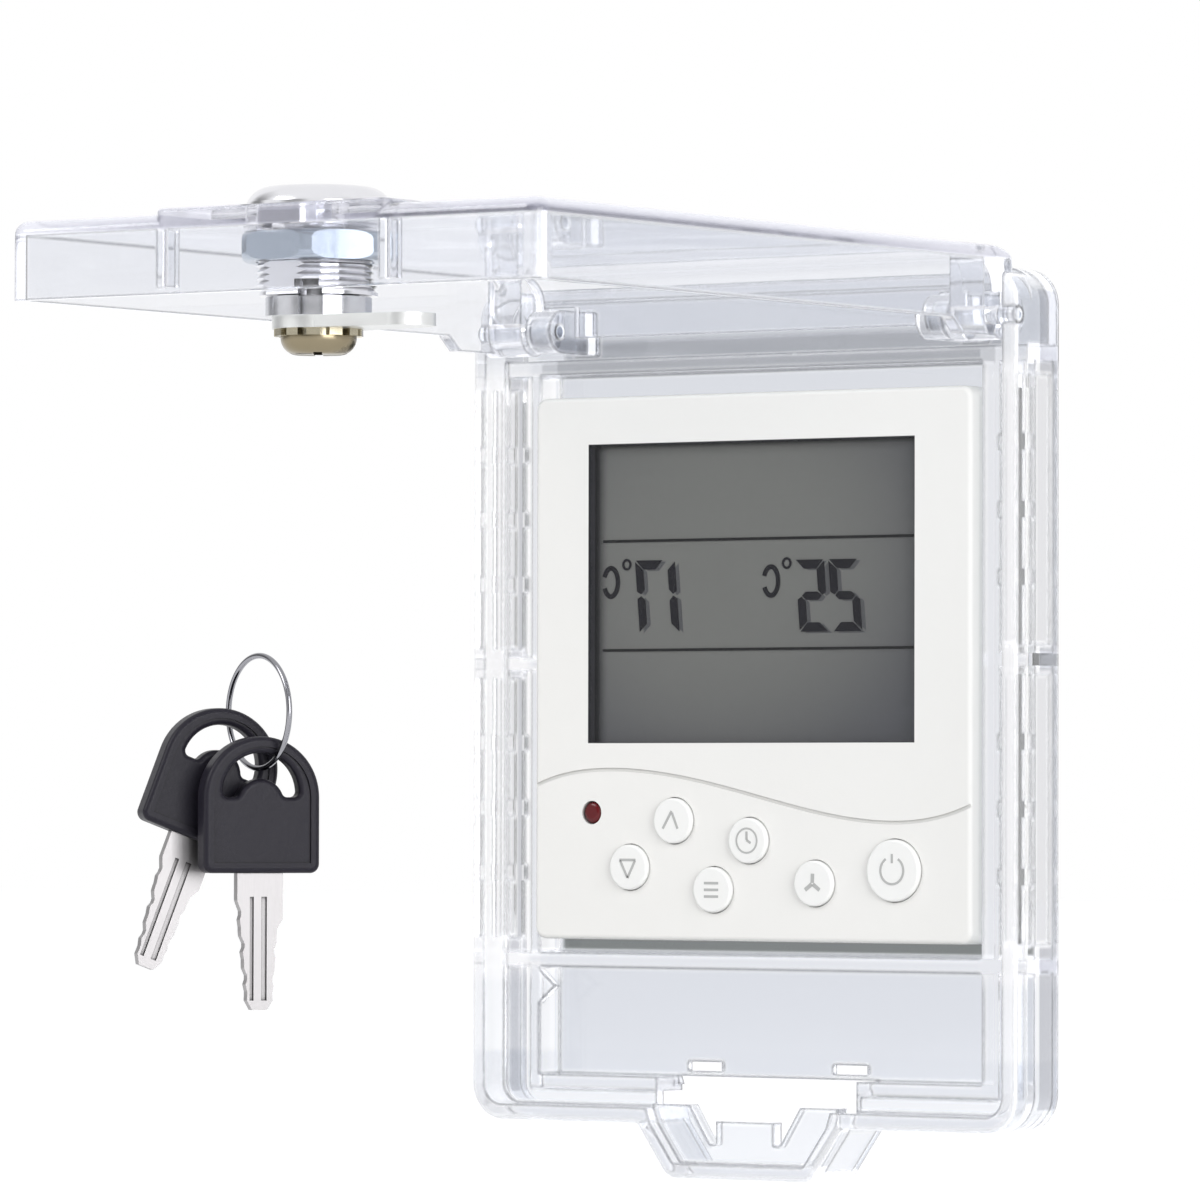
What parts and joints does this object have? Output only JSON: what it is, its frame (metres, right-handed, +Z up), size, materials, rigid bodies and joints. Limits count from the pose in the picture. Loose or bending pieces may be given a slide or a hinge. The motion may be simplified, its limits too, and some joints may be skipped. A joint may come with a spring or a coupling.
{
  "type": "thermostat lock box",
  "caption": "Clear plastic wall guard with a swing-up keyed lid, a thermostat inside, and a pair of keys on a ring.",
  "frame": {"origin": "midway between the two fixing holes of the base's back panel, on the wall face", "axes": "+X right as seen from the room, +Y into the wall, +Z up"},
  "size_m": [0.1664, 0.1399, 0.155],
  "materials": {
    "clear_plastic": "clear moulded polycarbonate",
    "chrome": "polished",
    "nut_steel": "bright zinc plated",
    "plug_metal": "polished",
    "brass": "stamped",
    "zinc": "bright zinc plated",
    "washer_brass": "plated",
    "screw_brass": "plated",
    "white_plastic": "satin",
    "lens": "smoked clear",
    "display": "dark liquid crystal",
    "contact_rubber": "matt",
    "board": "solder mask",
    "switch_black": "moulded",
    "led_red": "tinted clear",
    "button_white": "satin",
    "ring_steel": "bright",
    "key_plastic": "moulded",
    "key_metal": "nickel plated"
  },
  "bodies": {
    "base": {"base_tray": "clear_plastic", "hinge_pins": "clear_plastic", "thermostat_front": "white_plastic", "thermostat_back_plate": "white_plastic", "lcd_window": "lens", "lcd_panel": "display", "lcd_contact_strips": "contact_rubber", "circuit_board": "board", "tact_switches": "switch_black", "status_led": "led_red", "key_ring": "ring_steel"},
    "lid": {"cover_shell": "clear_plastic", "lock_body": "chrome", "lock_nut": "nut_steel"},
    "lock_core": {"lock_plug": "plug_metal", "lock_wafers": "brass", "stop_collar": "zinc", "lock_cam": "zinc", "cam_washer": "washer_brass", "cam_screw": "screw_brass"},
    "front_key": {"front_key_head": "key_plastic", "front_key_blade": "key_metal"},
    "back_key": {"back_key_head": "key_plastic", "back_key_blade": "key_metal"},
    "button_up": {"button_up": "button_white"},
    "button_down": {"button_down": "button_white"},
    "button_clock": {"button_clock": "button_white"},
    "button_mode": {"button_mode": "button_white"},
    "button_fan": {"button_fan": "button_white"},
    "button_power": {"button_power": "button_white"}
  },
  "joints": [
    {"name": "lid_hinge", "type": "hinge", "parent": "base", "child": "lid", "pos_m": [0, -0.012, 0.0559], "axis": [1, 0, 0], "range_deg": [0, 90]},
    {"name": "lock_turn", "type": "hinge", "parent": "lid", "child": "lock_core", "pos_m": [0, -0.1269, 0.0604], "axis": [0, 0, -1], "range_deg": [0, 90]},
    {"name": "front_key_swing", "type": "hinge", "parent": "base", "child": "front_key", "pos_m": [-0.09451, -0.01516, -0.01608], "axis": [0.8387, -0.5446, 0], "range_deg": [-15, 25]},
    {"name": "back_key_swing", "type": "hinge", "parent": "base", "child": "back_key", "pos_m": [-0.10089, -0.01284, -0.01608], "axis": [0.8387, -0.5446, 0], "range_deg": [-15, 60]},
    {"name": "button_up_press", "type": "slide", "parent": "base", "child": "button_up", "axis": [0, 1, 0], "range_m": [0, 0.0005], "stiffness_N_per_m": 1500, "springref_m": -0.0004},
    {"name": "button_down_press", "type": "slide", "parent": "base", "child": "button_down", "axis": [0, 1, 0], "range_m": [0, 0.0005], "stiffness_N_per_m": 1500, "springref_m": -0.0004},
    {"name": "button_clock_press", "type": "slide", "parent": "base", "child": "button_clock", "axis": [0, 1, 0], "range_m": [0, 0.0005], "stiffness_N_per_m": 1500, "springref_m": -0.0004},
    {"name": "button_mode_press", "type": "slide", "parent": "base", "child": "button_mode", "axis": [0, 1, 0], "range_m": [0, 0.0005], "stiffness_N_per_m": 1500, "springref_m": -0.0004},
    {"name": "button_fan_press", "type": "slide", "parent": "base", "child": "button_fan", "axis": [0, 1, 0], "range_m": [0, 0.0005], "stiffness_N_per_m": 1500, "springref_m": -0.0004},
    {"name": "button_power_press", "type": "slide", "parent": "base", "child": "button_power", "axis": [0, 1, 0], "range_m": [0, 0.0005], "stiffness_N_per_m": 1500, "springref_m": -0.0004}
  ]
}
